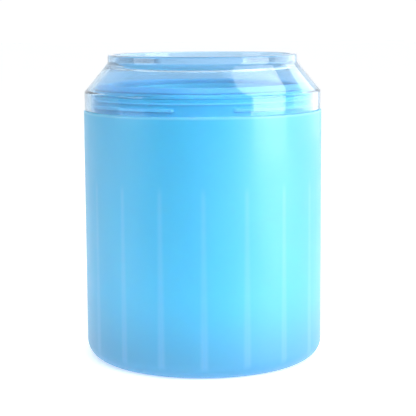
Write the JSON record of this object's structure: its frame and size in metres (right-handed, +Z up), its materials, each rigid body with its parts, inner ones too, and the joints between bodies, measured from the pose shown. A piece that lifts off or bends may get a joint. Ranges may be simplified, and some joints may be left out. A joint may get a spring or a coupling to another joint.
{
  "type": "paw washer cup",
  "caption": "Translucent cup with a hanging bristled silicone sleeve, held by a clear twist-lock collar with an open neck; a paw goes in and is brushed clean in water.",
  "frame": {"origin": "centre of the bottom of the bounding box, on the plane the cup stands on", "axes": "+Z up along the cup's axis towards its open neck; -Y is the side seen from the front; the threads and lugs repeat every 90 degrees about +Z"},
  "size_m": [0.09, 0.09, 0.1151],
  "materials": {
    "cup": "glossy translucent blue polypropylene",
    "collar": "clear glossy plastic with a faint blue-violet cast",
    "sleeve": "soft satin silicone",
    "bristles": "soft satin silicone",
    "seal": "soft satin silicone"
  },
  "bodies": {
    "cup": {"cup_body": "cup"},
    "liner": {"brush_sleeve": "sleeve", "bristles": "bristles"},
    "seal": {"seal_ring": "seal"},
    "collar": {"collar": "collar"}
  },
  "joints": [
    {"name": "liner_lift", "type": "slide", "parent": "cup", "child": "liner", "axis": [0, 0, 1], "range_m": [0, 0.11]},
    {"name": "collar_lift", "type": "slide", "parent": "liner", "child": "seal", "axis": [0, 0, 1], "range_m": [0, 0.05]},
    {"name": "collar_turn", "type": "hinge", "parent": "seal", "child": "collar", "pos_m": [0, 0, 0.1], "axis": [0, 0, -1], "range_deg": [0, 62.5]}
  ]
}
